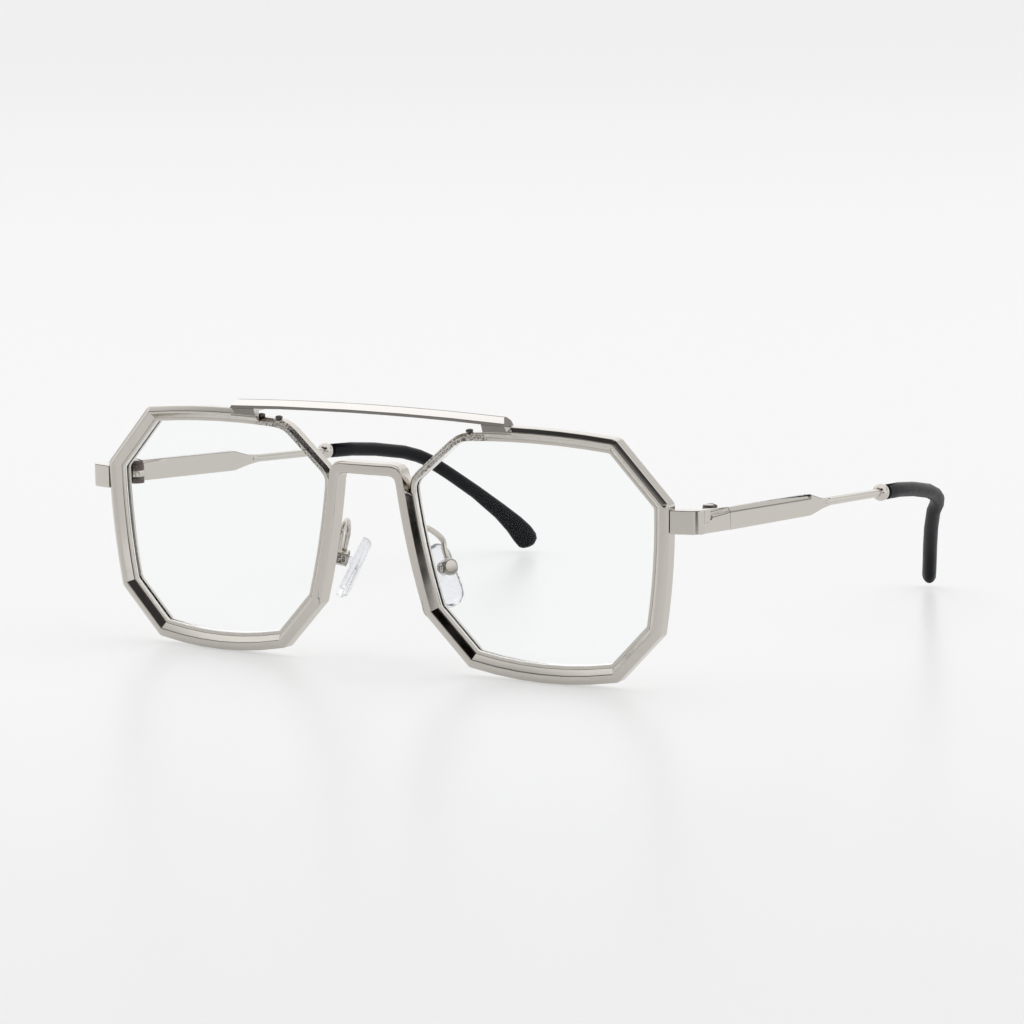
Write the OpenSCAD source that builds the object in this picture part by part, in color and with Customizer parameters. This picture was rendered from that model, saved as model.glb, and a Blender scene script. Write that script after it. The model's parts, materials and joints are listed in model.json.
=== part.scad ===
// Metal eyeglasses with eight-sided lenses, a brow bar and folding temples.
// Front faces -Y, temples run back along +Y, the rims and temple tips rest on Z = 0.
// The wearer's left is +X. Right-hand pieces are mirrored copies.

/* [Lens openings] */
// Upper inner corner of the opening, from the middle plane
upper_in_x = 21.6; // [20.5:0.1:23]
// Upper outer corner of the opening, from the middle plane
upper_out_x = 55.1; // [53:0.1:57]
// Height of the upper inner corner above the bottom inner corner
opening_h = 41.8; // [41:0.1:43]
// How much lower the upper outer corner is
top_fall = 0.7; // [0.4:0.1:1.4]
// Outermost corner of the opening, from the middle plane
side_x = 64.6; // [62:0.1:66]
// Height of the outermost corner above the bottom inner corner
side_top_h = 30.9; // [29:0.1:32.5]
// Lower end of the outer side, from the middle plane
side_low_x = 62.4; // [60.5:0.1:63.5]
// Height of the lower end of the outer side above the bottom inner corner
side_low_h = 7.6; // [6:0.1:9]
// Bottom outer corner of the opening, from the middle plane
bottom_out_x = 54.4; // [53:0.1:56.5]
// Bottom inner corner of the opening, from the middle plane
bottom_in_x = 24.4; // [23:0.1:26.5]
// How much lower the bottom outer corner is
bottom_fall = 0.5; // [0:0.1:1]
// Lower end of the nose side, from the middle plane
nose_low_x = 16.1; // [15:0.1:17.5]
// Height of the lower end of the nose side above the bottom inner corner
nose_low_h = 8.4; // [7:0.1:10]
// Upper end of the nose side, from the middle plane
nose_top_x = 10.8; // [10.2:0.1:11.6]
// Height of the upper end of the nose side above the bottom inner corner
nose_top_h = 32.7; // [31.5:0.1:33.5]
// Outward bow of the top side
top_bow = 0.7; // [0.2:0.05:1.2]
// Outward bow of the bottom side
bottom_bow = 1.4; // [0.6:0.05:1.8]
// Outward bow of the outer and nose sides
side_bow = 0.5; // [0.1:0.05:0.8]

/* [Front frame] */
// Width of the band along the top
band_top = 3.1; // [2.95:0.05:3.6]
// Width of the band on the upper outer chamfer
band_chamfer = 3.3; // [3:0.05:3.8]
// Width of the band down the outer side
band_side = 3.6; // [3.3:0.05:4]
// Width of the band along the bottom and its chamfers
band_bottom = 3.55; // [3.2:0.05:4]
// Width of the band down the nose side
band_nose = 3.65; // [3.3:0.05:3.9]
// Front-to-back depth of the outer rims
front_depth = 3.2; // [3.05:0.05:3.6]
// Front-to-back depth of the nose sides and the bridge
bridge_depth = 3.4; // [3.3:0.05:3.8]
// Height of the top of the bridge above the bottom inner corner
bridge_top_h = 36.45; // [36.2:0.05:36.9]
// Height of the bridge bar seen from the front
bridge_h = 2.4; // [2:0.1:2.7]
// Width of the bevel on the outer edge
outer_bevel_w = 0.95; // [0.6:0.05:1.1]
// Depth of the bevel on the outer edge
outer_bevel_d = 0.6; // [0.3:0.05:0.8]
// Width of the bevel round the lens
inner_bevel_w = 1.15; // [0.9:0.05:1.25]
// Depth of the bevel round the lens
inner_bevel_d = 1.15; // [0.8:0.05:1.2]
// Angle by which each rim turns back from the bridge
face_angle = 3.5; // [1:0.1:4.5]
// Angle by which the front leans forward at the top
front_lean = 1.2; // [0:0.1:2.5]

/* [Eyewires and lenses] */
// Width of the eyewire, seen from the front
wire_w = 1.65; // [1.5:0.05:1.7]
// Width of the eyewire that shows inside the bevel
wire_lip = 0.6; // [0.4:0.05:0.7]
// Front face of the eyewire behind the front of the frame
wire_front = 1.25; // [1.23:0.02:1.35]
// Depth of the eyewire
wire_depth = 2.3; // [2:0.05:2.5]
// Depth of the groove that holds the lens
groove_d = 0.5; // [0.3:0.05:0.7]
// Width of the groove at its mouth
groove_w = 1.0; // [0.8:0.05:1.2]
// Thickness of the lens
lens_t = 1.4; // [1.2:0.05:1.5]
// Diameter of the rim screw heads
rim_screw_head = 1.5; // [1.2:0.05:1.6]
// Diameter of the rim screw shanks
rim_screw_d = 0.9; // [0.7:0.05:1]
// Place of the inner rim screw, from the middle plane
rim_screw_in_x = 23.4; // [22.8:0.1:24]
// Place of the outer rim screw, from the middle plane
rim_screw_out_x = 27.9; // [27.2:0.1:28.2]

/* [Brow bar] */
// Half length of the bar at its foot
bar_half = 33.5; // [31:0.1:36]
// Height of the underside of the bar at its middle above the top of the lens opening
bar_lift = 4.4; // [4.2:0.1:5.7]
// Drop of the bar from its middle to its end
bar_drop = 0.75; // [0.3:0.05:0.95]
// Height of the bar
bar_h = 1.7; // [1.5:0.05:2.2]
// Height of the plain face under the bar's bevel
bar_face_h = 0.6; // [0.4:0.05:0.9]
// Depth of the bar, front to back
bar_depth = 2.9; // [2.6:0.1:3.2]
// Width of the bar's front bevel, front to back
bar_bevel = 1.15; // [0.8:0.05:1.3]
// Front of the bar behind the bridge's bend line
bar_front_y = 0.7; // [0.4:0.05:0.9]
// Inner end of the blocks that carry the bar, from the middle plane
block_x = 27.6; // [27:0.1:28.2]

/* [Endpieces and hinges] */
// How far the outside of the hinge gap lies beyond the outermost corner of the opening
hinge_out = 9.1; // [8:0.1:10.4]
// Hinge gap behind the bridge's bend line
gap_y = 17.2; // [15:0.1:19]
// Angle by which the temples turn in
toe_in = 1.65; // [0.5:0.1:3]
// Angle by which the left temple stands closed from its open stop
left_close = 1.05; // [0:0.05:1.5]
// Height of the middle of the hinge gap above the bottom inner corner
hinge_mid_h = 27.8; // [27.4:0.1:28.3]
// Height of the endpiece at its bend
endpiece_h = 4.65; // [4.5:0.05:5]
// Thickness of the endpiece
endpiece_t = 1.7; // [1.4:0.05:1.9]
// Height of the hinge
hinge_h = 4.1; // [3.8:0.1:4.3]
// Outer diameter of the hinge barrels
barrel_d = 3.2; // [2.8:0.1:3.4]
// Diameter of the hinge screw
hinge_screw_d = 1.4; // [1.1:0.05:1.5]
// Diameter of the hinge screw's head
hinge_head_d = 2.9; // [2.3:0.1:3]
// Distance of the hinge screw inside the outer face
hinge_in = 3.7; // [3.6:0.05:4.1]
// Distance of the hinge screw in front of the gap
hinge_ahead = 1.55; // [1.5:0.05:1.8]

/* [Temples] */
// Length of the flat part of the temple
paddle_len = 34.4; // [30:0.1:40]
// Height of the temple at the hinge
paddle_h = 4.4; // [4.3:0.05:4.8]
// Height of the temple at the end of the flat part
paddle_end_h = 4.25; // [3.6:0.05:4.5]
// Drop of the temple over the flat part
paddle_drop = 2.0; // [1.5:0.1:2.6]
// Thickness of the temple
temple_t = 1.5; // [1.3:0.05:1.7]
// Width of the bevel along the top of the temple
temple_bevel = 0.6; // [0.3:0.05:0.8]
// Diameter of the temple wire
wire_d = 1.7; // [1.5:0.05:1.9]
// Distance of the ball from the hinge gap
ball_at = 67.5; // [62:0.1:70]
// Diameter of the ball in front of the tip
ball_d = 3.6; // [3.2:0.1:4]
// Drop of the wire from the flat part to the ball
wire_drop = 1.5; // [1:0.05:2]
// Depth of the wire inside the tip
core_len = 11; // [8:0.5:11.5]

/* [Temple tips] */
// Height of the tip where it meets the ball
tip_h = 3.1; // [2.8:0.1:3.5]
// Thickness of the tip
tip_t = 3.1; // [2.8:0.1:3.5]
// Height of the flattened end
tip_end_h = 5.4; // [4.4:0.1:6]
// Distance that the tip reaches back
tip_reach = 52.0; // [50:0.5:60]
// Distance that the right tip turns in
tip_in = 18.6; // [15:0.1:19]
// How much less the left tip turns in
left_tip_less = 2.4; // [0:0.1:4]

/* [Nose pads] */
// Place of the pad box, from the middle plane
pad_x = 12.8; // [12.4:0.1:13.2]
// Place of the pad box behind the bridge's bend line
pad_y = 9.2; // [8.8:0.1:9.6]
// Height of the pad box above the bottom inner corner
pad_z = 14.9; // [14.2:0.1:15.6]
// Angle by which the pads open towards the back
pad_splay = 27; // [24:1:32]
// Lean of the pads, out at the bottom
pad_lean = 26; // [20:1:30]
// Length of the nose pad
pad_len = 13.4; // [12:0.1:14.5]
// Width of the nose pad
pad_w = 7.0; // [6:0.1:8]
// Thickness of the nose pad
pad_t = 2.1; // [1.7:0.1:2.3]
// Diameter of the pad screw
pad_screw_d = 1.0; // [0.8:0.05:1.1]
// Diameter of the pad arm wire
arm_d = 1.2; // [1:0.05:1.3]

/* [Hidden] */
$fn = 48;
gap_x = side_x + hinge_out;
fit = 0.05;          // gap between pieces that are soldered or pressed together
run = 0.06;          // radial gap of a hinge or pad screw in its hole
swing = 0.15;        // gap round a barrel that turns
corner_steps = 3;    // segments in each rounded corner
bow_steps = 6;       // segments in each bowed side

// Corners of one lens opening, clockwise from the upper inner one
CORNERS = [[upper_in_x, opening_h], [upper_out_x, opening_h - top_fall],
    [side_x, side_top_h], [side_low_x, side_low_h],
    [bottom_out_x, -bottom_fall], [bottom_in_x, 0],
    [nose_low_x, nose_low_h], [nose_top_x, nose_top_h]];
BOWS = [top_bow, 0, side_bow, 0, bottom_bow, 0, side_bow, 0];
BANDS = [band_top, band_chamfer, band_side, band_bottom, band_bottom, band_bottom, band_nose];
// Height of the bottom inner corner: the rims then stand on Z = 0
base_z = band_bottom + max([for (i = [0:bow_steps]) -side_point(4, i / bow_steps)[1]]);

// Unit vector of a plane vector, and the outward side of a clockwise run
function unit(v) = v / norm(v);
function outward(v) = [-unit(v)[1], unit(v)[0]];

// A point at the share t of side k, with the side's bow
function side_point(k, t) =
    let (a = CORNERS[k], b = CORNERS[(k + 1) % 8])
    a + (b - a) * t + outward(b - a) * BOWS[k] * 4 * t * (1 - t);

// Where two offset sides meet: p is in distance da from the first and db from the second
function mitre(na, nb, da, db) =
    let (det = na[0] * nb[1] - na[1] * nb[0])
    abs(det) < 0.12
        ? (na + nb) / (1 + na * nb) * (da + db) / 2
        : [da * nb[1] - db * na[1], na[0] * db - nb[0] * da] / det;

// A corner of radius r at c, from direction u to direction v, as a short curve
function round_corner(c, u, v, r) =
    let (turn = acos(max(-1, min(1, u * v))), t = r * tan(turn / 2))
    [for (i = [0:corner_steps]) let (s = i / corner_steps)
        (c - u * t) * (1 - s) * (1 - s) + c * 2 * s * (1 - s) + (c + v * t) * s * s];

// One offset line along a run of vertices [point, offset before, offset after, radius]
function lane(run_pts, closed) =
    let (n = len(run_pts))
    [for (i = [0:n - 1])
        let (p = run_pts[i][0],
            a = closed || i > 0 ? run_pts[(i + n - 1) % n][0] : 2 * p - run_pts[1][0],
            b = closed || i < n - 1 ? run_pts[(i + 1) % n][0] : 2 * p - run_pts[n - 2][0],
            c = p + mitre(outward(p - a), outward(b - p), run_pts[i][1], run_pts[i][2]),
            r = run_pts[i][3])
        each (r > 0 ? round_corner(c, unit(p - a), unit(b - p), r) : [c])];

// From rim coordinates (across, back, up) to the bent front
function bend(u, n, z) =
    u >= bend_x
        ? [bend_x + (u - bend_x) * cos(face_angle) - n * sin(face_angle),
            (u - bend_x) * sin(face_angle) + n * cos(face_angle), z + base_z]
        : [u - n * sin(face_angle) * u / bend_x,
            tan(face_angle) * (u * u / bend_x - bend_x) / 2 + n, z + base_z];
bend_x = 7;

// A skin over lanes of equal length: closed round, and either closed or capped along.
// Each cap is a fan of triangles about the lane called hub
module skin(lanes, closed, hub = 0) {
    k = len(lanes);
    m = len(lanes[0]);
    pts = [for (l = lanes) each l];
    last = closed ? m - 1 : m - 2;
    // The second half is split the other way, so that a mirrored run stays mirrored
    walls = [for (j = [0:k - 1]) for (i = [0:last])
        let (a = j * m + i, b = j * m + (i + 1) % m,
            c = ((j + 1) % k) * m + i, d = ((j + 1) % k) * m + (i + 1) % m)
        each (!closed && 2 * i >= last ? [[a, c, b], [c, d, b]] : [[a, d, b], [a, c, d]])];
    caps = closed ? [] : [for (j = [1:k - 2])
        let (h = hub * m, b = (hub + j) % k * m, c = (hub + j + 1) % k * m)
        each [[h, c, b], [h + m - 1, b + m - 1, c + m - 1]]];
    polyhedron(points = pts, faces = concat(walls, caps));
}

// Moves a piece so that the middle of the whole length comes to Y = 0
module place() {
    translate([0, -mid_y, 0]) children();
}
// Leans the upright front about the line on which the rims stand
lean_y = bend(bottom_out_x - 15, outer_bevel_d, 0)[1];
function leaned(p) =
    [p[0], lean_y + (p[1] - lean_y) * cos(front_lean) - p[2] * sin(front_lean),
        (p[1] - lean_y) * sin(front_lean) + p[2] * cos(front_lean)];
module lean() {
    translate([0, lean_y, 0]) rotate([front_lean, 0, 0]) translate([0, -lean_y, 0]) children();
}
// Both sides of the part
module both(side) {
    mirror([side == "left" ? 0 : 1, 0, 0]) place() children();
}

// Section of the front frame as eight lanes, each [offset, share of the band, depth, radius]
lens_edge = 0.25;
outer_edge = 1.5;
step_n = wire_front - 0.02;
seat_d = wire_w + fit;
RIM = [[wire_lip + inner_bevel_w, 0, 0, lens_edge], [-outer_bevel_w, 1, 0, outer_edge],
    [0, 1, outer_bevel_d, outer_edge], [0, 1, front_depth, outer_edge],
    [seat_d, 0, front_depth, lens_edge], [seat_d, 0, step_n, lens_edge],
    [wire_lip, 0, step_n, lens_edge], [wire_lip, 0, inner_bevel_d, lens_edge]];
NOSE = [RIM[0], [-0.3, 1, 0, outer_edge], [0, 1, 0.3, outer_edge], [0, 1, bridge_depth, outer_edge],
    [seat_d, 0, bridge_depth, lens_edge], RIM[5], RIM[6], RIM[7]];
// Above the bevel the nose side is a plain bar beside the eyewire
PLAIN = [[seat_d, 0, 0, lens_edge], NOSE[1], NOSE[2], NOSE[3], NOSE[4],
    [seat_d, 0, bridge_depth * 0.75, lens_edge], RIM[5], [seat_d, 0, step_n / 2, lens_edge]];
arch_gap = 1.2;
// The bridge has its own bevel along the top of its front
ARCH = [for (j = [0:7]) let (l = PLAIN[j])
    l[1] != 0 ? l : [j == 0 ? arch_gap + 0.45 : arch_gap, 0, j == 7 ? 0.5 : l[2], l[3]]];
arch_band = arch_gap + bridge_h;
hollow_rise = 1.25;
arch_out_r = 2.8;
arch_in_r = 1.7;

// Vertices of half the front frame: [point, side before, side after, section before, after, radius]
arch_h = bridge_top_h + arch_gap;
arch_foot = side_point(6, 0.96);
arch_dir = unit(side_point(6, 1) - side_point(6, 0.9));
arch_corner = arch_foot + arch_dir * (arch_h - arch_foot[1]) / arch_dir[1];
block_end_x = bar_half - 0.4;
function top_share(x) = (x - upper_in_x) / (upper_out_x - upper_in_x);
HALF = concat(
    [for (x = [block_x, rim_screw_out_x + 1.3]) [side_point(0, top_share(x)), 0, 0, 5, 5, 0]],
    [for (x = [rim_screw_out_x + 1.35, block_end_x]) [side_point(0, top_share(x)), 0, 0, 0, 0, 0]],
    [for (t = [0, 0.25, 0.5, 0.75]) let (x = block_end_x + 0.9 + t * (upper_out_x - block_end_x - 0.9))
        [side_point(0, top_share(x)), 0, 0, 1, 1, 0]],
    [[CORNERS[1], 0, 1, 1, 1, 1], [CORNERS[2], 1, 2, 1, 1, 1]],
    [for (i = [1:bow_steps - 1]) [side_point(2, i / bow_steps), 2, 2, 1, 1, 0]],
    [[CORNERS[3], 2, 3, 1, 1, 1], [CORNERS[4], 3, 4, 1, 1, 1]],
    [for (i = [1:bow_steps - 1]) [side_point(4, i / bow_steps), 4, 4, 1, 1, 0]],
    [[CORNERS[5], 4, 5, 1, 1, 1], [CORNERS[6], 5, 6, 1, 2, 1]],
    [for (t = [0.17, 0.34, 0.5, 0.67, 0.82]) [side_point(6, t), 6, 6, 2, 2, 0]],
    [[side_point(6, 0.91), 6, 6, 2, 2, 0], [arch_foot, 6, 6, 3, 3, 0]],
    [[arch_corner, 6, 7, 3, 4, 2], [[4.2, arch_h], 7, 7, 4, 4, 0], [[2, arch_h], 7, 7, 4, 4, 0],
        [[0, arch_h], 7, 7, 4, 4, 0]]);
// The end of the block is hollow at the back, over the outer rim screw
HOLLOW = [for (j = [0:7]) j == 4 || j == 5 ? RIM[j] + [hollow_rise, 0, 0, 0] : RIM[j]];
SECTIONS = [RIM, RIM, NOSE, PLAIN, ARCH, HOLLOW];
ALL_BANDS = concat(BANDS, [arch_band]);

function offset_of(section, j, side) = SECTIONS[section][j][0] + SECTIONS[section][j][1] * ALL_BANDS[side];
function half_lane(j) =
    let (flat_lane = lane([for (v = HALF)
            [v[0], offset_of(v[3], j, v[1]), offset_of(v[4], j, v[2]),
                v[5] == 0 ? 0 : v[5] == 1 ? SECTIONS[v[3]][j][3] : SECTIONS[1][j][1] == 1 ? arch_in_r : arch_out_r]],
            false),
        depths = [for (v = HALF) each
            (v[5] == 0 ? [SECTIONS[v[3]][j][2]]
                : [for (i = [0:corner_steps]) let (s = i / corner_steps)
                    SECTIONS[v[3]][j][2] * (1 - s) + SECTIONS[v[4]][j][2] * s])],
        on_block = [for (v = HALF) each (v[5] == 0 ? [v[3] == 0 || v[3] == 5] : [for (i = [0:corner_steps]) false])])
    [for (i = [0:len(flat_lane) - 1])
        on_block[i] && (j == 2 || j == 3)
            ? [flat_lane[i][0], bar_front_y + (j == 2 ? 0.03 : bar_depth), bar_under(flat_lane[i][0]) - fit / 2 + base_z]
            : bend(flat_lane[i][0], depths[i], flat_lane[i][1])];
function whole_lane(j) =
    let (h = half_lane(j), n = len(h))
    concat(h, [for (i = [n - 2:-1:0]) [-h[i][0], h[i][1], h[i][2]]]);

// Underside of the brow bar above the bottom inner corner
function bar_under(x) = opening_h + bar_lift - bar_drop * (x / bar_half) * (x / bar_half);

module front_frame() {
    color("#cdc6be") place() lean() skin([for (j = [0:7]) whole_lane(j)], false, 5);
}

// Section of the bar: [back, up, how far its end is cut in]
bar_cut = 1.1;
BAR = [[0, 0], [0, bar_face_h], [bar_bevel, bar_h], [bar_bevel + 0.8, bar_h],
    [bar_depth, bar_h * 0.55], [bar_depth, 0]];
bar_stations = 16;
module brow_bar() {
    color("#d6d1ca") place() lean()
        skin([for (p = BAR) [for (i = [0:bar_stations])
            let (x = (2 * i / bar_stations - 1) * (bar_half - bar_cut * p[1] / bar_h))
            [x, bar_front_y + p[0], bar_under(x) + p[1] + base_z]]], false);
}

// Round the whole opening: radii of the eight corners of the eyewire's inner edge
WIRE_R = [6, 1.2, 1.2, 1.2, 1.2, 1.2, 1.2, 2.8];
function loop_lane(d, n) =
    let (verts = [for (k = [0:7]) each concat(
            [[CORNERS[k], d, d, WIRE_R[k] + d]],
            BOWS[k] == 0 ? [] : [for (i = [1:bow_steps - 1]) [side_point(k, i / bow_steps), d, d, 0]])])
    [for (p = lane(verts, true)) bend(p[0], n, p[1])];

groove_n = wire_front + wire_depth / 2;
wire_bevel = 0.8;
WIRE = [[0, wire_front], [wire_w - wire_bevel, wire_front], [wire_w, wire_front + wire_bevel],
    [wire_w, wire_front + wire_depth], [0, wire_front + wire_depth], [0, groove_n + groove_w / 2],
    [groove_d, groove_n], [0, groove_n - groove_w / 2]];

// A frame on the top side of the eyewire at x, its Z along the outward side
module on_wire_top(x) {
    t = top_share(x);
    p = side_point(0, t);
    d = side_point(0, t + 0.02) - side_point(0, t - 0.02);
    at = bend(p[0], groove_n, p[1]);
    translate(at) rotate([0, -atan2(d[1], d[0]), face_angle]) children();
}

rim_shank_in = 0.95;
module eyewire(side) {
    color("#bdb6ae") both(side) lean()
        difference() {
            skin([for (w = WIRE) loop_lane(w[0], w[1])], true);
            for (x = [rim_screw_in_x, rim_screw_out_x])
                on_wire_top(x) translate([0, 0, wire_w - rim_shank_in])
                    cylinder(h = rim_shank_in + 1, d = rim_screw_d + 2 * run, $fn = 24);
        }
}

rim_head_h = 0.65;
module rim_screws(side) {
    color("#4a4642") both(side) lean()
        for (x = [rim_screw_in_x, rim_screw_out_x])
            on_wire_top(x) {
                translate([0, 0, wire_w - rim_shank_in + 0.1])
                    cylinder(h = rim_shank_in, d = rim_screw_d, $fn = 24);
                translate([0, 0, wire_w + 0.02])
                    intersection() {
                        translate([0, 0, rim_head_h - rim_screw_head])
                            sphere(r = rim_screw_head, $fn = 24);
                        cylinder(h = rim_head_h, d = rim_screw_head, $fn = 24);
                    }
            }
}

lens_gap = 0.04;
LENS = [[-lens_gap, groove_n - lens_t / 2], [-lens_gap, groove_n - groove_w / 2 + 0.05],
    [groove_d - 0.06, groove_n], [-lens_gap, groove_n + groove_w / 2 - 0.05],
    [-lens_gap, groove_n + lens_t / 2]];
module lens(side) {
    rings = [for (w = LENS) loop_lane(w[0], w[1])];
    m = len(rings[0]);
    k = len(rings);
    walls = [for (j = [0:k - 2]) for (i = [0:m - 1])
        let (a = j * m + i, b = j * m + (i + 1) % m, c = (j + 1) * m + i, d = (j + 1) * m + (i + 1) % m)
        each [[a, d, b], [a, c, d]]];
    front = [for (i = [0:m - 1]) i];
    back = [for (i = [m - 1:-1:0]) (k - 1) * m + i];
    color("#dfe4ee", 0.35) both(side) lean()
        polyhedron(points = [for (r = rings) each r], faces = concat(walls, [front, back]));
}

// The frame of a temple at its hinge gap: X out, Y back, Z up from the hinge's middle
hinge_z = base_z + hinge_mid_h;
module at_gap() {
    translate([gap_x, gap_y, hinge_z]) rotate([0, 0, toe_in]) children();
}

// Plan of the endpiece: out from the rim, round the bend and back to the gap
rim_out_x = CORNERS[2][0] + band_side;
root_front = leaned(bend(rim_out_x + 0.12, 0.5, hinge_mid_h));
root_back = leaned(bend(rim_out_x + 0.12, 3.1, hinge_mid_h));
arm_len = 10.6;
gap_half = 0.06;
bend_r = 2.6;
bend_front_y = root_front[1] + 0.83;
function gap_plan(x, y) = [gap_x + x * cos(toe_in) - y * sin(toe_in), gap_y + x * sin(toe_in) + y * cos(toe_in)];
outer_bend = gap_plan(0, -arm_len + 0.8);
inner_bend = gap_plan(-endpiece_t, -arm_len + 2.2);
ENDPIECE = concat(
    [[root_front[0], root_front[1]]],
    [for (a = [15:7.5:90]) [outer_bend[0] - bend_r + bend_r * sin(a), outer_bend[1] - (outer_bend[1] - bend_front_y) * cos(a)]],
    [gap_plan(0, -gap_half), gap_plan(-endpiece_t, -gap_half)],
    [for (a = [90:-22.5:0]) [inner_bend[0] - 0.9 + 0.9 * sin(a), inner_bend[1] - 0.9 * cos(a)]],
    [[root_back[0], root_back[1]]]);

arm_chamfer = 0.9;
arm_top = paddle_h / 2;
end_rise = 0.8;
module endpiece(side) {
    bend_z = hinge_z + end_rise;
    end_y = gap_y + 1;
    root_y = root_front[1] - 2;
    color("#c8c1b9") both(side)
        difference() {
            intersection() {
                translate([0, 0, hinge_z - 2 * endpiece_h]) linear_extrude(4 * endpiece_h) polygon(ENDPIECE);
                translate([side_x - endpiece_h, 0, 0]) rotate([90, 0, 90]) linear_extrude(4 * endpiece_h)
                    polygon([[root_y, bend_z - endpiece_h / 2], [outer_bend[1], bend_z - endpiece_h / 2],
                        [end_y, hinge_z - arm_top], [end_y, hinge_z + arm_top],
                        [outer_bend[1], bend_z + endpiece_h / 2], [root_y, bend_z + endpiece_h / 2]]);
            }
            // Bevel along the outside of the top edge
            at_gap() translate([0, 0, arm_top]) rotate([90, 0, 0]) translate([0, 0, -1])
                linear_extrude(arm_len - 2)
                    polygon([[-temple_bevel, 0.6], [-temple_bevel, 0], [0.1, -arm_chamfer - 0.1], [1, -1], [1, 0.6]]);
            // Shallow scoop that starts at the bend and runs into the bevel
            at_gap() translate([-0.18, 0, 0]) rotate([90, 0, 90]) linear_extrude(2)
                polygon(concat([[-10.2, 3.4], [-10.25, 0.6]],
                    [for (a = [0:15:90]) [-9.9 + 2.9 * sin(a), 0.5 + 1.3 * (1 - cos(a))]],
                    [[-0.5, 1.35], [1, 1.35], [1, 3.4]]));
        }
}

// Hinge: barrels on the axis, leaves on the inner faces
axis_x = -hinge_in;
axis_y = -hinge_ahead;
barrel_h = (hinge_h - 2 * fit) / 3;
module at_axis(z) {
    translate([axis_x, axis_y, z]) children();
}
module barrel(z0, h) {
    at_axis(z0) cylinder(h = h, d = barrel_d);
}
leaf_t = 1.15;
leaf_end_y = axis_y - 0.15;
module front_hinge(side) {
    upper_z = hinge_h / 2 - barrel_h;
    lower_z = -hinge_h / 2;
    color("#a9a29a") both(side) at_gap()
        difference() {
            union() {
                translate([-endpiece_t - leaf_t, -8.4, lower_z])
                    cube([leaf_t - 0.02, 8.4 + leaf_end_y, hinge_h]);
                for (z = [upper_z, lower_z]) {
                    barrel(z, barrel_h);
                    translate([axis_x, axis_y - barrel_d / 2, z])
                        cube([-endpiece_t - 0.5 - axis_x, barrel_d / 2 - 0.15, barrel_h]);
                }
            }
            at_axis(-barrel_h / 2 - fit) cylinder(h = barrel_h + 2 * fit, d = barrel_d + 2 * swing);
            at_axis(upper_z - 1) cylinder(h = barrel_h + 2, d = hinge_screw_d + 2 * run);
            at_axis(lower_z - 1) cylinder(h = barrel_h + 2, d = hinge_screw_d + 2 * run);
        }
}

hinge_head_h = 0.95;
module hinge_screw(side) {
    top = hinge_h / 2 + 0.03;
    color("#c2bbb3") both(side) at_gap() at_axis(0)
        difference() {
            union() {
                translate([0, 0, -hinge_h / 2 + 0.2]) cylinder(h = top + hinge_h / 2, d = hinge_screw_d);
                translate([0, 0, top]) intersection() {
                    translate([0, 0, hinge_head_h - hinge_head_d]) sphere(r = hinge_head_d);
                    cylinder(h = hinge_head_h, d = hinge_head_d);
                }
            }
            translate([-hinge_head_d, -0.2, top + hinge_head_h - 0.4]) cube([2 * hinge_head_d, 0.4, 1]);
        }
}

// The frame of a temple: as at_gap, but the left one stands slightly closed
module at_temple(side) {
    at_gap() translate([axis_x, axis_y, 0]) rotate([0, 0, side == "left" ? left_close : 0])
        translate([-axis_x, -axis_y, 0]) children();
}

temple_leaf_h = 3.3;
leaf_drop = 0.25;
module temple_hinge(side) {
    color("#a9a29a") both(side) at_temple(side)
        difference() {
            union() {
                barrel(-barrel_h / 2, barrel_h);
                translate([axis_x, axis_y, -barrel_h / 2])
                    cube([-endpiece_t - 0.2 - axis_x, hinge_ahead + 1.6, barrel_h]);
                translate([-temple_t - leaf_t, 0.12, -barrel_h / 2]) cube([leaf_t - 0.02, 2, barrel_h]);
                translate([-temple_t - leaf_t, 1.4, -temple_leaf_h / 2 - leaf_drop]) cube([leaf_t - 0.02, 8.2, temple_leaf_h]);
            }
            at_axis(-hinge_h) cylinder(h = 2 * hinge_h, d = hinge_screw_d + 2 * run);
        }
}

// Side view of the flat part, then the neck that narrows to the wire
neck_len = 8;
neck_z = -paddle_drop - 0.45;
wire_slope = atan(wire_drop / (ball_at - paddle_len - neck_len));
ball_z = neck_z - wire_drop;
PADDLE = [[gap_half, paddle_h / 2], [paddle_len, paddle_end_h / 2 - paddle_drop],
    [paddle_len + neck_len * 0.6, neck_z + 1.2], [paddle_len + neck_len, neck_z + wire_d / 2 - 0.03],
    [paddle_len + neck_len, neck_z - wire_d / 2 + 0.03], [paddle_len + neck_len * 0.6, neck_z - 1.05],
    [paddle_len, -paddle_end_h / 2 - paddle_drop], [gap_half, -paddle_h / 2]];
paddle_fall = atan((PADDLE[0][1] - PADDLE[1][1]) / paddle_len);
core_d = 1.3;
module temple(side) {
    wire_len = ball_at - paddle_len - neck_len;
    color("#cdc6be") both(side) at_temple(side) {
        difference() {
            translate([-temple_t, 0, 0]) rotate([90, 0, 90]) linear_extrude(temple_t) polygon(PADDLE);
            // Bevel along the outside of the top edge
            translate([0, 0, paddle_h / 2]) rotate([90 - paddle_fall, 0, 0]) translate([0, 0, -paddle_len])
                linear_extrude(paddle_len + 2)
                    polygon([[-temple_bevel, 0.6], [-temple_bevel, 0], [0.1, -arm_chamfer - 0.1], [1, -1], [1, 0.6]]);
        }
        translate([-temple_t / 2, paddle_len + neck_len - 1.5, neck_z + 1.5 * tan(wire_slope)])
            rotate([-90 - wire_slope, 0, 0]) cylinder(h = wire_len + 1.5, d = wire_d);
        translate([-temple_t / 2, ball_at - 1, ball_z + tan(wire_slope)])
            rotate([-90 - wire_slope, 0, 0]) cylinder(h = core_len + 1, d = core_d, $fn = 24);
    }
}

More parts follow.
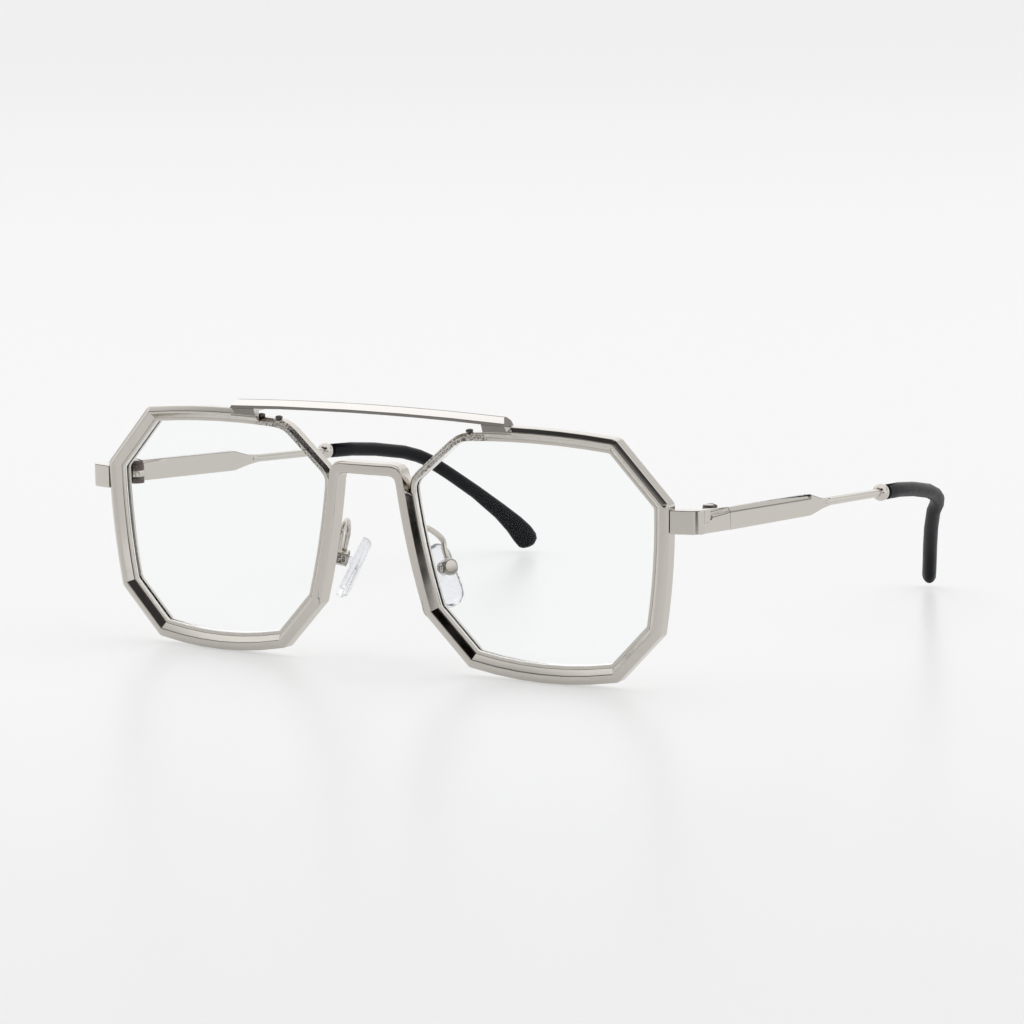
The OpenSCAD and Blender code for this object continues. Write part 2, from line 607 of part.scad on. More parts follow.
module at_ball(side) {
    at_temple(side) translate([-temple_t / 2, ball_at, ball_z]) rotate([-wire_slope, 0, 0]) children();
}
module ferrule(side) {
    color("#d8d3cd") both(side) at_ball(side)
        difference() {
            sphere(d = ball_d);
            rotate([-90, 0, 0]) translate([0, 0, -ball_d]) cylinder(h = 2 * ball_d, d = wire_d + 2 * fit);
        }
}

// Tip: shares of the reach, of the turn in and of the drop, then scale of the height and thickness
tip_gap = 0.05;
TIP = [[0.000, 0.000, 0.000, 0.96], [0.006, 0.000, 0.004, 1.00], [0.140, 0.030, 0.020, 1.00],
    [0.290, 0.075, 0.055, 1.00], [0.470, 0.150, 0.118, 1.00], [0.560, 0.200, 0.170, 0.99],
    [0.610, 0.245, 0.215, 0.98], [0.650, 0.315, 0.270, 0.97], [0.690, 0.430, 0.345, 0.96],
    [0.790, 0.628, 0.515, 1.00], [0.890, 0.806, 0.700, 1.22], [0.945, 0.900, 0.815, 1.50],
    [0.980, 0.962, 0.905, 1.72], [1.000, 1.000, 0.965, 1.66], [1.008, 1.015, 0.992, 1.36],
    [1.012, 1.022, 1.012, 0.70]];
tip_sides = 14;
tip_start = [-temple_t / 2, ball_at + ball_d / 2 + tip_gap, ball_z - (ball_d / 2 + tip_gap) * tan(wire_slope)];
tip_drop = hinge_z + tip_start[2] - tip_end_h * 0.34;
function tip_point(s, turn) = tip_start + [-turn * s[1] + tip_reach * s[0] * sin(toe_in),
    tip_reach * s[0], -tip_drop * s[2]];
function tip_scale(s) = s[3] <= 1 ? s[3] : 1 + (s[3] - 1) * (tip_end_h / tip_h - 1) / 0.74;
tip_end = len(TIP) - 1;
function tip_rings(turn) = let (tip_line = [for (s = TIP) tip_point(s, turn)]) [for (i = [0:tip_end])
    let (t = unit(tip_line[min(tip_end, i + 1)] - tip_line[max(0, i - 1)]),
        s = unit(cross(t, [0, 0, 1])), u = cross(s, t),
        w = i == tip_end ? 0.45 : i == tip_end - 1 ? 0.8 : i == 0 ? 0.96 : 1)
    [for (j = [0:tip_sides - 1]) let (a = 360 * j / tip_sides)
        tip_line[i] + s * cos(a) * tip_t / 2 * w + u * sin(a) * tip_h / 2 * tip_scale(TIP[i])]];
front_y = leaned(bend(0, 0, bridge_top_h))[1];
back_y = max([for (ring = tip_rings(tip_in)) each [for (p = ring) gap_plan(p[0], p[1])[1]]]);
mid_y = (front_y + back_y) / 2;
module temple_tip(side) {
    rings = tip_rings(side == "left" ? tip_in - left_tip_less : tip_in);
    color("#222326") both(side) at_temple(side)
        difference() {
            skin([for (j = [0:tip_sides - 1]) [for (i = [0:tip_end]) rings[i][j]]], false);
            translate([-temple_t / 2, ball_at, ball_z]) rotate([-90 - wire_slope, 0, 0])
                cylinder(h = core_len + 0.6, d = core_d + 2 * fit, $fn = 24);
        }
}

// Nose pads: the box is set back from the rim, the pad rocks on the screw across it
pad_at = [pad_x, pad_y, pad_z + base_z];
box_w = 2.7;
box_d = 2.9;
box_h = 3.5;
box_lean = 14;
box_edge = 0.35;
slot_w = 1.4;
slot_top = 1.25;
box_shift = 0.35;
knuckle_d = 1.9;
module at_pad() {
    translate(pad_at) rotate([0, 0, -pad_splay]) children();
}

function along(pts, s) =
    let (n = len(pts) - 1, k = min(n - 1, floor(s * n)), t = s * n - k,
        a = pts[max(0, k - 1)], b = pts[k], c = pts[k + 1], d = pts[min(n, k + 2)])
    0.5 * (2 * b + (c - a) * t + (2 * a - 5 * b + 4 * c - d) * t * t + (3 * b - a - 3 * c + d) * t * t * t);
arm_root = leaned(bend(side_point(6, 0.36)[0] - 3.3, bridge_depth + arm_d / 2 + fit / 2, side_point(6, 0.36)[1]));
arm_foot = pad_at + [-0.2, 0.1, box_h / 2 + 0.09];
ARM = [arm_root, arm_root + [-0.4, 0.35, 2.7], arm_root + [-0.6, 0.9, 4.7],
    arm_root + [-0.5, 2.7, 6.0], arm_foot + [-1.1, -0.1, 3.9], arm_foot + [-0.6, 0, 2.0], arm_foot];
arm_rings = 30;
arm_sides = 10;
module pad_arm(side) {
    pts = [for (i = [0:arm_rings]) along(ARM, i / arm_rings)];
    rings = [for (i = [0:arm_rings])
        let (t = unit(pts[min(arm_rings, i + 1)] - pts[max(0, i - 1)]),
            s = unit(cross(t, [1, 0, 0])), u = cross(s, t))
        [for (j = [0:arm_sides - 1]) let (a = 360 * j / arm_sides)
            pts[i] + (s * cos(a) + u * sin(a)) * arm_d / 2]];
    color("#b5aea6") both(side)
        skin([for (j = [0:arm_sides - 1]) [for (i = [0:arm_rings]) rings[i][j]]], false);
}

module pad_box(side) {
    color("#8f8881") both(side) at_pad() rotate([0, -box_lean, 0])
        difference() {
            intersection() {
                translate([box_shift - box_w / 2, 0, 0]) rotate([0, 90, 0])
                    rotate_extrude($fn = 48)
                        polygon([[0, 0], [box_h / 2, 0], [box_h / 2, box_w - box_edge],
                            [box_h / 2 - box_edge, box_w], [0, box_w]]);
                translate([-box_w, -box_d / 2, -box_h]) cube([3 * box_w, box_d, 2 * box_h]);
            }
            translate([-box_w, -slot_w / 2, slot_top - 2 * box_h])
                cube([box_w + knuckle_d / 2 + 0.1, slot_w, 2 * box_h]);
            rotate([90, 0, 0]) translate([0, 0, -box_d])
                cylinder(h = 2 * box_d, d = pad_screw_d + 2 * run, $fn = 24);
        }
}

// Head of the pad screw: a flange, a raised middle and a cross recess
pad_head_d = 2.2;
pad_crown_d = 1.6;
pad_head_h = 0.55;
pad_recess = [1.15, 0.26];
module pad_screw(side) {
    color("#4d4843") both(side) at_pad() rotate([90, 0, 0])
        difference() {
            union() {
                translate([0, 0, -box_d / 2]) cylinder(h = box_d + 0.1, d = pad_screw_d, $fn = 24);
                translate([0, 0, box_d / 2 + 0.02]) cylinder(h = pad_head_h / 2, d = pad_head_d, $fn = 32);
                translate([0, 0, box_d / 2 + 0.02]) cylinder(h = pad_head_h, d = pad_crown_d, $fn = 32);
            }
            for (a = [0, 90]) rotate([0, 0, a])
                translate([-pad_recess[0] / 2, -pad_recess[1] / 2, box_d / 2 + pad_head_h / 2])
                    cube([pad_recess[0], pad_recess[1], pad_head_h]);
        }
}

// The pad: a drop-shaped plate with a tongue that the screw passes through
pad_off = 1.9;
pad_low = 0.5;
tongue_t = 1.2;
module nose_pad(side) {
    r_low = pad_w / 2;
    r_top = pad_w * 0.37;
    span = pad_len - r_low - r_top;
    color("#eef1f4", 0.6) both(side) at_pad() rotate([0, -pad_lean, 0])
        difference() {
            union() {
                translate([-pad_off, 0, -pad_low]) rotate([0, -90, 0])
                    hull() {
                        translate([-span / 2, 0, 0]) cylinder(h = pad_t * 0.55, r = r_low, $fn = 36);
                        translate([span / 2, 0, 0]) cylinder(h = pad_t * 0.55, r = r_top, $fn = 36);
                        translate([-span / 2, 0, 0]) cylinder(h = pad_t, r = r_low * 0.72, $fn = 36);
                        translate([span / 2, 0, 0]) cylinder(h = pad_t, r = r_top * 0.72, $fn = 36);
                    }
                translate([-pad_off - 0.1, -tongue_t / 2, -0.85]) cube([pad_off + 0.1, tongue_t, 1.7]);
                rotate([90, 0, 0]) translate([0, 0, -tongue_t / 2]) cylinder(h = tongue_t, d = knuckle_d, $fn = 32);
            }
            rotate([90, 0, 0]) translate([0, 0, -tongue_t]) cylinder(h = 2 * tongue_t, d = pad_screw_d + 2 * run, $fn = 24);
        }
}

front_frame();
brow_bar();
eyewire("left");  // left_eyewire
eyewire("right");  // right_eyewire
lens("left");  // left_lens
lens("right");  // right_lens
rim_screws("left");  // left_rim_screws
rim_screws("right");  // right_rim_screws
endpiece("left");  // left_endpiece
endpiece("right");  // right_endpiece
front_hinge("left");  // left_front_hinge
front_hinge("right");  // right_front_hinge
hinge_screw("left");  // left_hinge_screw
hinge_screw("right");  // right_hinge_screw
temple_hinge("left");  // left_temple_hinge
temple_hinge("right");  // right_temple_hinge
temple("left");  // left_temple
temple("right");  // right_temple
ferrule("left");  // left_ferrule
ferrule("right");  // right_ferrule
temple_tip("left");  // left_temple_tip
temple_tip("right");  // right_temple_tip
pad_arm("left");  // left_pad_arm
pad_arm("right");  // right_pad_arm
pad_box("left");  // left_pad_box
pad_box("right");  // right_pad_box
pad_screw("left");  // left_pad_screw
pad_screw("right");  // right_pad_screw
nose_pad("left");  // left_nose_pad
nose_pad("right");  // right_nose_pad
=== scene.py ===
"""Looks of a pair of metal eyeglasses with eight-sided lenses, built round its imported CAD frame."""
import json
import math

import bmesh
import bpy
from mathutils import Matrix, Vector
from mathutils.bvhtree import BVHTree

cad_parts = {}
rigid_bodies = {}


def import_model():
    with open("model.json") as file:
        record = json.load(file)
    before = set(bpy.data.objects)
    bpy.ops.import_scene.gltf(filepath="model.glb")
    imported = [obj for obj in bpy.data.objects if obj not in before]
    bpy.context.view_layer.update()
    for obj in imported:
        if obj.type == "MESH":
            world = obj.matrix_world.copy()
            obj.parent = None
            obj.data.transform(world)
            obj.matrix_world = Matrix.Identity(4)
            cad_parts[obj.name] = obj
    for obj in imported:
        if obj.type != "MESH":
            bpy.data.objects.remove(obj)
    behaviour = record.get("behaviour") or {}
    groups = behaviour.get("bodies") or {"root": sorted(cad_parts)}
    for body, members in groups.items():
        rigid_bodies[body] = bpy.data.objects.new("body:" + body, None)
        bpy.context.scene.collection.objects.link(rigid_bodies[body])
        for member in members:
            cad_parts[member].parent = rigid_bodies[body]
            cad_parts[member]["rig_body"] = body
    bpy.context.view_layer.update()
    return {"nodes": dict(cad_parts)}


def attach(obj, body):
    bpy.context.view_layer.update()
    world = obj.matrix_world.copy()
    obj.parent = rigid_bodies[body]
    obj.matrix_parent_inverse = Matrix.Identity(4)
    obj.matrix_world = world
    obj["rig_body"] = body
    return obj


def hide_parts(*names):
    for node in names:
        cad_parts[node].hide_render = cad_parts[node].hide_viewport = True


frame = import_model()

bl_info = {
    "name": "Eight-sided metal eyeglasses",
    "version": (1, 0, 0),
    "blender": (4, 5, 0),
    "location": "3D View > Sidebar > Eyeglasses",
    "description": "Dresses metal eyeglasses in plated metal, clear lenses, black tips and soft nose pads",
    "category": "Object",
}

MM = 0.001
SIDES = ("left", "right")

# Plating and wire
CLOUD_SIZE = 6.0 * MM  # the cloudy marks that handling leaves
TONE_SPREAD = 0.06  # how far the grain lightens and darkens the plating
DARK_REFLECTION_SHARE = 0.42  # the share of the front's colour left in the painted dark reflection
BARE_WIRE_X = (27.0 * MM, 29.0 * MM)  # the eyewires lie bare inside the first, less so out to the second
BARE_WIRE_Z = (38.0 * MM, 40.0 * MM)  # and above the second, less so down to the first
PIT_SIZE = 0.3 * MM

# Pieces made from the CAD solids
SAME_POINT = 0.0005 * MM  # loose corners of the CAD mesh closer than this are one
SAME_FLAT = math.radians(0.6)  # its triangles that turn by less than this are one flat face
HARD_EDGE = math.radians(24.0)  # its edges that turn by more than this are rounded
STRAY = 0.03 * MM  # a corner of the rounding this far outside the solid is brought back
TINY_EDGE = 0.0002 * MM
FLAT_SHADING = 90  # the say of large faces in the shading of a piece with flat sides
BENT_SHADING = 55  # and of a piece whose sides follow a gentle bend
BLOCK_DEPTH = 3.2 * MM  # the blocks at the open ends of the front, whose front faces get painted dark reflection, down from its top
BLOCK_X = (27.0 * MM, 33.5 * MM)  # and out from its middle
PADDLE_END = -12.0 * MM  # where the temple's paddle has run out into its neck

# Floor, in metres. A pool of light is painted on it: along the line of sight it fades to its edge colour, a
# painted
# shade: towards the camera over NEAR_FADE, until NEAR_SHARE of the pale colour is left, and away from the
# camera over FAR_FADE
NEAR_FADE = (-0.34, -0.02)
NEAR_SHARE = 0.45
FAR_FADE = (0.2, 2.8)
# The metal alone sees a dark strip of floor, a painted dark reflection: it lies in the direction STRIP_WAY,
# starts over STRIP_START, and ends to both sides over STRIP_EDGE
STRIP_WAY = (0.883, -0.47, 0.0)
STRIP_ACROSS = (0.47, 0.883, 0.0)
STRIP_START = (0.26, 0.3)
STRIP_EDGE = (0.03, 0.07)
FLOOR_RADIUS = 12.0
FLOOR_DROP = 0.02 * MM  # keeps the floor clear of what stands on it

# Camera
LOOK_AT = Vector((34.370, -69.471, 33.955)) * MM
SENSOR_WIDTH = 36.0


# ---------------------------------------------------------------- settings

def linear(hex_colour):
    """The linear RGBA of an sRGB hex colour such as "c8c0b8"."""
    parts = [int(hex_colour[i:i + 2], 16) / 255 for i in (0, 2, 4)]
    return tuple(c / 12.92 if c <= 0.04045 else ((c + 0.055) / 1.055) ** 2.4 for c in parts) + (1.0,)


class MetalSettings(bpy.types.PropertyGroup):
    """Colours, finish and edges of the metal"""
    frame_colour: bpy.props.FloatVectorProperty(
        name="Front colour", description="Colour of the tumbled front, endpieces, temples and wires",
        subtype="COLOR", size=3, min=0.0, max=1.0, default=linear("cdc8c1")[:3])
    bright_colour: bpy.props.FloatVectorProperty(
        name="Bright colour", description="Colour of the polished brow bar and of polished edges",
        subtype="COLOR", size=3, min=0.0, max=1.0, default=linear("efece8")[:3])
    # The hinge colour is also painted as dark reflection on edges of the endpieces and on the sides of the
    # hinge screw heads
    hinge_and_dark_reflection_colour: bpy.props.FloatVectorProperty(
        name="Hinge colour", description="Colour of the hinges, in the duller look of the bare alloy",
        subtype="COLOR", size=3, min=0.0, max=1.0, default=linear("655d59")[:3])
    screw_colour: bpy.props.FloatVectorProperty(
        name="Screw colour", description="Colour of the small dark screws",
        subtype="COLOR", size=3, min=0.0, max=1.0, default=linear("595755")[:3])
    front_roughness: bpy.props.FloatProperty(
        name="Front roughness", description="Roughness of the tumbled metal",
        subtype="FACTOR", min=0.0, max=1.0, default=0.1)
    bright_roughness: bpy.props.FloatProperty(
        name="Bright roughness", description="Roughness of the polished metal",
        subtype="FACTOR", min=0.0, max=1.0, default=0.07)
    edge_round: bpy.props.FloatProperty(
        name="Edge rounding", description="Width of the soft edge on the front, endpieces and temples",
        unit="LENGTH", precision=5, min=0.0, max=0.001, default=0.15 * MM)
    small_round: bpy.props.FloatProperty(
        name="Small edge rounding", description="Width of the soft edge on the bar, wires, hinges and screws",
        unit="LENGTH", precision=5, min=0.0, max=0.001, default=0.07 * MM)


class ClearSettings(bpy.types.PropertyGroup):
    """Tint and indices of the lenses and nose pads"""
    lens_tint: bpy.props.FloatVectorProperty(
        name="Lens tint",
        description="Colour that the demonstration lens gives to what is seen through it",
        subtype="COLOR", size=3, min=0.0, max=1.0, default=linear("feffff")[:3])
    lens_ior: bpy.props.FloatProperty(
        name="Lens index",
        description="Index at which a bare face would mirror as little as the coated lens does",
        min=1.0, max=1.8, default=1.12)
    pad_ior: bpy.props.FloatProperty(
        name="Pad index", description="Index of refraction of the nose pad", min=1.3, max=1.8, default=1.41)


class TipSettings(bpy.types.PropertyGroup):
    """Colour and finish of the temple tips"""
    tip_colour: bpy.props.FloatVectorProperty(
        name="Tip colour", description="Colour of the black acetate tips",
        subtype="COLOR", size=3, min=0.0, max=1.0, default=linear("0d0e14")[:3])
    tip_roughness: bpy.props.FloatProperty(
        name="Tip roughness", description="Roughness of the buffed acetate",
        subtype="FACTOR", min=0.0, max=1.0, default=0.38)


class StageSettings(bpy.types.PropertyGroup):
    """Floor, light and camera"""
    floor_colour: bpy.props.FloatVectorProperty(
        name="Floor colour", description="Colour of the pale floor",
        subtype="COLOR", size=3, min=0.0, max=1.0, default=linear("fcfcfc")[:3])
    # The floor's painted shade: the painted pool of light fades to this colour
    floor_painted_shade_colour: bpy.props.FloatVectorProperty(
        name="Floor edge colour",
        description="Colour that the floor fades to in front of and far behind the glasses",
        subtype="COLOR", size=3, min=0.0, max=1.0, default=linear("efefef")[:3])
    # A painted dark reflection: only the metal sees the floor beyond the sheet darkened
    far_floor_painted_dark_reflection: bpy.props.FloatProperty(
        name="Far floor darkness",
        description="How much of its light the floor beyond the sheet loses, as the metal sees it",
        subtype="FACTOR", min=0.0, max=1.0, default=0.9)
    floor_lift: bpy.props.FloatProperty(
        name="Floor lift",
        description="Share of the floor that is shown at its own colour, free of shading",
        subtype="FACTOR", min=0.0, max=1.0, default=0.42)
    light_level: bpy.props.FloatProperty(
        name="Light level",
        description="Strength of the even studio light, at which a colour renders as written",
        min=0.0, default=1.15)
    camera_azimuth: bpy.props.FloatProperty(
        name="Camera azimuth", description="How far the camera stands round from straight ahead",
        subtype="ANGLE", default=math.radians(33.404))
    camera_elevation: bpy.props.FloatProperty(
        name="Camera elevation", description="How far the camera looks down",
        subtype="ANGLE", default=math.radians(8.575))
    camera_roll: bpy.props.FloatProperty(
        name="Camera roll", description="Turn of the picture about its own middle",
        subtype="ANGLE", default=math.radians(-0.962))
    camera_distance: bpy.props.FloatProperty(
        name="Camera distance", description="From the camera to the point it looks at",
        unit="LENGTH", default=0.8944)
    focal_length: bpy.props.FloatProperty(
        name="Focal length",
        description="Focal length of the lens in millimetres on a 36 mm sensor",
        default=161.19)


# ---------------------------------------------------------------- nodes and materials

def add(tree, kind, settings=None, inputs=None):
    """Adds a node; settings are its own properties, inputs are values, or the sockets that feed them."""
    made = tree.nodes.new(kind)
    for key, value in (settings or {}).items():
        setattr(made, key, value)
    for key, value in (inputs or {}).items():
        if isinstance(value, bpy.types.NodeSocket):
            tree.links.new(value, made.inputs[key])
        else:
            made.inputs[key].default_value = value
    return made


def maths(tree, operation, first, second=0.0, clamped=False):
    """The result of one operation on two values or sockets."""
    return add(tree, "ShaderNodeMath", {"operation": operation, "use_clamp": clamped}, {
        0: first, 1: second}).outputs["Value"]


def ramp(tree, value, span, result, smooth=False):
    """Carries a value from the two ends of span to the two of result, and holds it beyond them."""
    settings = {"interpolation_type": "SMOOTHSTEP"} if smooth else None
    return add(tree, "ShaderNodeMapRange", settings, {
        "Value": value, "From Min": span[0], "From Max": span[1],
        "To Min": result[0], "To Max": result[1]}).outputs["Result"]


def mixed(tree, share, first, second):
    """Two colours, or the sockets that give them, mixed by a share of the second."""
    first_socket, second_socket, mixed_socket = 6, 7, 2  # the Mix node's colour sockets
    return add(tree, "ShaderNodeMix", {"data_type": "RGBA"}, {
        "Factor": share, first_socket: first, second_socket: second}).outputs[mixed_socket]


def noise(tree, place, grain, detail):
    """Noise whose grains have about the given size."""
    return add(tree, "ShaderNodeTexNoise", inputs={
        "Vector": place, "Scale": 1.0 / grain, "Detail": detail}).outputs["Fac"]


def object_place(tree):
    """Where a point lies in the shared frame, since every piece has its origin there."""
    return add(tree, "ShaderNodeTexCoord").outputs["Object"]


def opaque(colour):
    """A colour of three parts with full cover as the fourth."""
    return tuple(colour) + (1.0,)


def new_material(name):
    """An empty node material and its output, or the material of that name with no tree where it exists."""
    material = bpy.data.materials.get(name)
    if material:
        return material, None, None
    material = bpy.data.materials.new(name)
    material.use_nodes = True
    tree = material.node_tree
    tree.nodes.clear()
    return material, tree, add(tree, "ShaderNodeOutputMaterial")


def plated_metal(name, colour, roughness, grain, grain_bump, smear):
    """Nickel-plated metal: a warm grey mirror with a fine grain and cloudy marks from handling.

    grain is the size of the grain, grain_bump its strength, and smear what the marks add to the roughness.
    """
    material, tree, output = new_material(name)
    if tree is None:
        return material
    place = object_place(tree)
    grains = noise(tree, place, grain, 2.0)
    cloud = noise(tree, place, CLOUD_SIZE, 3.0)
    tone = mixed(tree, grains, opaque(c * (1.0 - TONE_SPREAD) for c in colour),
                 opaque(min(1.0, c * (1.0 + TONE_SPREAD)) for c in colour))
    bump = add(tree, "ShaderNodeBump", inputs={
        "Strength": grain_bump, "Distance": 0.01 * MM, "Height": grains})
    shader = add(tree, "ShaderNodeBsdfPrincipled", inputs={
        "Base Color": tone, "Metallic": 1.0,
        "Roughness": ramp(tree, cloud, (0.35, 0.7), (roughness, roughness + smear)),
        "Normal": bump.outputs["Normal"]})
    tree.links.new(shader.outputs["BSDF"], output.inputs["Surface"])
    return material


def tumbled_nickel():
    settings = bpy.context.scene.eyeglasses_metal
    return plated_metal("nickel_plate_tumbled", settings.frame_colour, settings.front_roughness,
                        grain=0.25 * MM, grain_bump=0.25, smear=0.05)


def polished_nickel():
    settings = bpy.context.scene.eyeglasses_metal
    return plated_metal("nickel_plate_polished", settings.bright_colour, settings.bright_roughness,
                        grain=0.18 * MM, grain_bump=0.12, smear=0.04)


# Dark nickel of the front hinges and pad screws, also painted as dark reflection on the endpieces and hinge
# screw heads
def hinge_and_dark_reflection_nickel():
    settings = bpy.context.scene.eyeglasses_metal
    return plated_metal("nickel_silver_hinge_and_dark_reflection", settings.hinge_and_dark_reflection_colour, roughness=0.16,
                        grain=0.2 * MM, grain_bump=0.3, smear=0.06)


def screw_steel():
    settings = bpy.context.scene.eyeglasses_metal
    return plated_metal("blackened_steel_screw", settings.screw_colour, roughness=0.2,
                        grain=0.15 * MM, grain_bump=0.2, smear=0.06)


def dark_reflection_nickel():
    """Dull, grainy and dark nickel: a painted dark reflection on the front's blocks, the brow bar, the paddles'
    edges and the pad boxes' edges.
    """
    settings = bpy.context.scene.eyeglasses_metal
    dark_reflection_colour = tuple(c * DARK_REFLECTION_SHARE for c in settings.frame_colour)
    return plated_metal("nickel_painted_dark_reflection", dark_reflection_colour, roughness=0.3,
                        grain=0.14 * MM, grain_bump=0.8, smear=0.1)


def pitted_wire():
    """Tumbled wire of the eyewires: grey and grainy, with small dark pits where the front leaves it bare."""
    name = "nickel_wire_pitted"
    made = bpy.data.materials.get(name)
    if made:
        return made
    settings = bpy.context.scene.eyeglasses_metal
    material = plated_metal(name, settings.frame_colour, roughness=0.14,
                            grain=0.22 * MM, grain_bump=0.5, smear=0.06)
    tree = material.node_tree
    shader = next(node for node in tree.nodes if node.type == "BSDF_PRINCIPLED")
    place = object_place(tree)
    across = add(tree, "ShaderNodeSeparateXYZ", inputs={"Vector": place}).outputs
    inner = ramp(tree, maths(tree, "ABSOLUTE", across["X"]), BARE_WIRE_X, (1.0, 0.0))
    upper = ramp(tree, across["Z"], BARE_WIRE_Z, (0.0, 1.0))
    bare = maths(tree, "MULTIPLY", inner, upper)
    pit = ramp(tree, noise(tree, place, PIT_SIZE, 3.0), (0.47, 0.58), (0.0, 0.85))
    plain = shader.inputs["Base Color"].links[0].from_socket
    tree.links.new(mixed(tree, maths(tree, "MULTIPLY", pit, bare), plain, linear("2a2724")),
                   shader.inputs["Base Color"])
    return material


def lens_resin():
    """CR-39 demonstration lens: cast, polished and coated, so that its faces mirror next to nothing."""
    material, tree, output = new_material("cr39_lens_resin")
    if tree is None:
        return material
    settings = bpy.context.scene.eyeglasses_clear
    haze = noise(tree, object_place(tree), 9.0 * MM, 2.0)
    shader = add(tree, "ShaderNodeBsdfPrincipled", inputs={
        "Base Color": opaque(settings.lens_tint), "Roughness": ramp(tree, haze, (0.3, 0.8), (0.0, 0.015)),
        "IOR": settings.lens_ior, "Transmission Weight": 1.0})
    tree.links.new(shader.outputs["BSDF"], output.inputs["Surface"])
    return material


def black_acetate():
    """Black cellulose acetate: buffed, nearly even, with faint streaks along the grain of the sheet."""
    material, tree, output = new_material("black_acetate_buffed")
    if tree is None:
        return material
    settings = bpy.context.scene.eyeglasses_tips
    streak = noise(tree, object_place(tree), 1.4 * MM, 3.0)
    rough = ramp(tree, streak, (0.3, 0.7), (settings.tip_roughness - 0.04, settings.tip_roughness + 0.06))
    bump = add(tree, "ShaderNodeBump", inputs={"Strength": 0.1, "Distance": 0.02 * MM, "Height": streak})
    shader = add(tree, "ShaderNodeBsdfPrincipled", inputs={
        "Base Color": opaque(settings.tip_colour), "Roughness": rough,
        "IOR": 1.49, "Specular IOR Level": 0.15, "Normal": bump.outputs["Normal"]})
    tree.links.new(shader.outputs["BSDF"], output.inputs["Surface"])
    return material


def clear_silicone():
    """Moulded silicone: clear and soft, with a slightly dull skin."""
    material, tree, output = new_material("clear_silicone_moulded")
    if tree is None:
        return material
    settings = bpy.context.scene.eyeglasses_clear
    skin = noise(tree, object_place(tree), 0.8 * MM, 2.0)
    shader = add(tree, "ShaderNodeBsdfPrincipled", inputs={
        "Base Color": linear("f4f5f8"), "Roughness": ramp(tree, skin, (0.3, 0.7), (0.12, 0.3)),
        "IOR": settings.pad_ior, "Transmission Weight": 1.0})
    tree.links.new(shader.outputs["BSDF"], output.inputs["Surface"])
    return material


# ---------------------------------------------------------------- pieces from the CAD solids

def merged_copy(node, whole_faces=True):
    """A bmesh of a CAD solid with its loose triangles joined and, if asked, its flat faces made whole."""
    mesh = bmesh.new()
    mesh.from_mesh(frame["nodes"][node].data)
    bmesh.ops.remove_doubles(mesh, verts=mesh.verts, dist=SAME_POINT)
    if whole_faces:
        bmesh.ops.dissolve_limit(mesh, angle_limit=SAME_FLAT, use_dissolve_boundaries=False,
                                 verts=mesh.verts, edges=mesh.edges)
    return mesh


def finish_piece(name, mesh, node, material, sharp_deg=30.0):
    """Turns a bmesh into a piece that stands for a CAD node and moves with its body."""
    data = bpy.data.meshes.new(name)
    bmesh.ops.recalc_face_normals(mesh, faces=mesh.faces)
    for face in mesh.faces:
        face.smooth = True
    mesh.to_mesh(data)
    mesh.free()
    data.set_sharp_from_angle(angle=math.radians(sharp_deg))
    piece = bpy.data.objects.new(name, data)
    bpy.context.scene.collection.objects.link(piece)
    data.materials.append(material)
    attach(piece, frame["nodes"][node]["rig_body"])
    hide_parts(node)
    return piece


def outer_corners(mesh):
    """The lowest and the highest corner of the box round a bmesh."""
    return [[pick(vertex.co[axis] for vertex in mesh.verts) for axis in range(3)] for pick in (min, max)]


def eased(node, material, width, edge_material=None, shading=FLAT_SHADING):
    """A CAD solid with its hard edges rounded, as plating and tumbling leave them."""
    mesh = merged_copy(node)
    cad_skin = BVHTree.FromBMesh(mesh)
    lowest, highest = outer_corners(mesh)
    hard = [edge for edge in mesh.edges if edge.is_manifold and edge.calc_face_angle() > HARD_EDGE]
    made = bmesh.ops.bevel(mesh, geom=hard, offset=width, offset_type="OFFSET", segments=2, profile=0.5,
                           affect="EDGES", clamp_overlap=False, loop_slide=True, material=-1)
    if edge_material:
        for face in made["faces"]:
            face.material_index = 1  # the edge material, the second of the piece
    # Where two bevels meet at a small angle, their corner runs out along the edge: it is brought back to the
    # solid, and nothing is left outside the solid's own box
    for vertex in mesh.verts:
        foot, normal, _, gap = cad_skin.find_nearest(vertex.co)
        if gap > STRAY and (vertex.co - foot).dot(normal) > 0:
            vertex.co = foot
        vertex.co = [min(max(vertex.co[axis], lowest[axis]), highest[axis]) for axis in range(3)]
    bmesh.ops.remove_doubles(mesh, verts=mesh.verts, dist=TINY_EDGE)
    piece = finish_piece(node + "_eased", mesh, node, material)
    if edge_material:
        piece.data.materials.append(edge_material)
    flat = piece.modifiers.new("flat_faces", "WEIGHTED_NORMAL")
    flat.mode = "FACE_AREA"
    flat.weight = shading
    flat.keep_sharp = True
    return piece


def moulded(node, material, cell, passes):
    """A CAD solid of few faces, remade as an even skin and smoothed to a soft moulded form."""
    piece = finish_piece(node + "_moulded", merged_copy(node, False), node, material, sharp_deg=180.0)
    even = piece.modifiers.new("even_skin", "REMESH")
    even.mode = "VOXEL"
    even.voxel_size = cell
    even.use_smooth_shade = True
    soft = piece.modifiers.new("soft_form", "SMOOTH")
    soft.factor = 0.5
    soft.iterations = passes
    return piece


def round_ball(node):
    """A smooth ball in the place of a CAD ball: its middle and radius are those of the CAD solid."""
    cad = merged_copy(node, False)
    lowest, highest = [Vector(corner) for corner in outer_corners(cad)]
    cad.free()
    middle = (lowest + highest) / 2
    radius = max(highest - lowest) / 2
    ball = bmesh.new()
    bmesh.ops.create_icosphere(ball, subdivisions=5, radius=radius, matrix=Matrix.Translation(middle))
    return ball


def paint(piece, material, wanted):
    """Gives another material to the faces of a piece whose middle and normal are wanted."""
    piece.data.materials.append(material)
    last = len(piece.data.materials) - 1
    for face in piece.data.polygons:
        if face.material_index == 0 and wanted(face.center, face.normal):
            face.material_index = last


